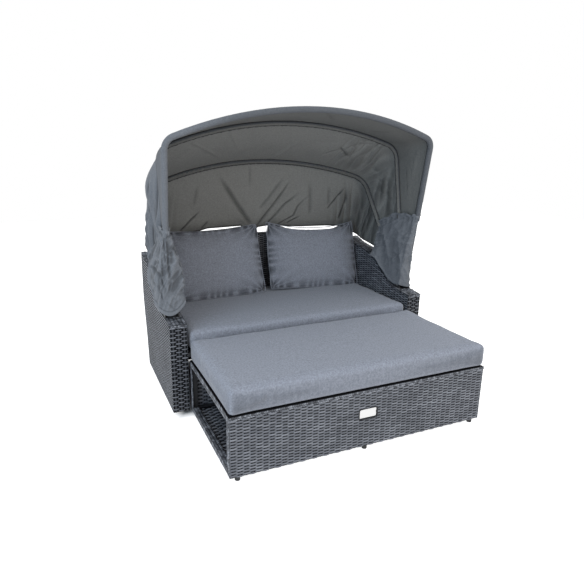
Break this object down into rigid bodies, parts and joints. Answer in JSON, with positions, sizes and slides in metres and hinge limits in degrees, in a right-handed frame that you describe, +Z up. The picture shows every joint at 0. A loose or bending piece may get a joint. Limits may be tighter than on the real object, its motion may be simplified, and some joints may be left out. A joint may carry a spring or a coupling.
{
  "type": "outdoor daybed with canopy",
  "caption": "Woven two-seat daybed with a footstool that slides out from under the seat, loose cushions and a folding fabric canopy on hinged bows over the arms.",
  "frame": {"origin": "on the floor under the middle of the whole, with the footstool out", "axes": "+Z up, the front and the footstool face -Y, +X to the right seen from the front"},
  "size_m": [1.4566, 1.2845, 1.4211],
  "materials": {
    "wicker": "flat woven synthetic strands, dark anthracite with lighter grey strands",
    "frame": "powder-coated near-black tube",
    "cushion": "woven blue-grey melange polyester",
    "hood": "plain-woven dark grey canopy cloth",
    "plastic": "moulded black foot",
    "zinc": "zinc-plated"
  },
  "bodies": {
    "sofa": {"back_frame": "frame", "back_wicker": "wicker", "hem_tie": "hood", "left_arm_frame": "frame", "left_arm_wicker": "wicker", "left_back_bolt": "zinc", "left_bracket_screw": "zinc", "left_canopy_bracket": "frame", "left_front_foot": "plastic", "left_front_seat_bolt": "zinc", "left_pillow": "cushion", "left_pivot_bolt": "zinc", "left_pivot_nut": "zinc", "left_rear_foot": "plastic", "left_rear_seat_bolt": "zinc", "right_arm_frame": "frame", "right_arm_wicker": "wicker", "right_back_bolt": "zinc", "right_bracket_screw": "zinc", "right_canopy_bracket": "frame", "right_front_foot": "plastic", "right_front_seat_bolt": "zinc", "right_pillow": "cushion", "right_pivot_bolt": "zinc", "right_pivot_nut": "zinc", "right_rear_foot": "plastic", "right_rear_seat_bolt": "zinc", "seat_cushion": "cushion", "seat_deck_weave": "wicker", "seat_frame": "frame"},
    "rear_bow": {"rear_bow": "frame", "hood_rear_panel": "hood"},
    "middle_bow": {"middle_bow": "frame", "hood_middle_panel": "hood", "left_skirt": "hood", "right_skirt": "hood"},
    "front_bow": {"front_bow": "frame", "hood_front_panel": "hood"},
    "stool": {"left_stool_floor_weave": "wicker", "left_stool_front_foot": "plastic", "left_stool_low_sleeve": "wicker", "left_stool_rear_foot": "plastic", "left_stool_side_frame": "frame", "left_stool_top_sleeve": "wicker", "right_stool_floor_weave": "wicker", "right_stool_front_foot": "plastic", "right_stool_low_sleeve": "wicker", "right_stool_rear_foot": "plastic", "right_stool_side_frame": "frame", "right_stool_top_sleeve": "wicker", "stool_deck_frame": "frame", "stool_deck_weave": "wicker", "stool_front_middle_foot": "plastic", "stool_front_rail": "frame", "stool_front_wicker": "wicker", "stool_rear_middle_foot": "plastic", "stool_rear_rail": "frame", "stool_rear_wicker": "wicker"},
    "stool_cushion": {"stool_cushion": "cushion"}
  },
  "joints": [
    {"name": "rear_bow_fold", "type": "hinge", "parent": "sofa", "child": "rear_bow", "pos_m": [0, 0.0545, 0.4917], "axis": [-1, 0, 0], "range_deg": [0, 24], "deforming": ["hood_rear_panel"]},
    {"name": "middle_bow_fold", "type": "hinge", "parent": "rear_bow", "child": "middle_bow", "pos_m": [0, 0.0545, 0.4917], "axis": [-1, 0, 0], "range_deg": [0, 22], "deforming": ["hood_middle_panel", "left_skirt", "right_skirt"]},
    {"name": "front_bow_fold", "type": "hinge", "parent": "middle_bow", "child": "front_bow", "pos_m": [0, 0.0545, 0.4917], "axis": [-1, 0, 0], "range_deg": [0, 15], "deforming": ["hood_front_panel"]},
    {"name": "stool_slide", "type": "slide", "parent": "sofa", "child": "stool", "axis": [0, 1, 0], "range_m": [0, 0.57]},
    {"name": "stool_cushion_fold", "type": "hinge", "parent": "sofa", "child": "stool_cushion", "pos_m": [0, -0.0675, 0.41], "axis": [-1, 0, 0], "range_deg": [0, 136]}
  ],
  "couplings": [
    {"joint": "stool_cushion_fold", "follows": "stool_slide", "rad_per_m": 4.13}
  ]
}
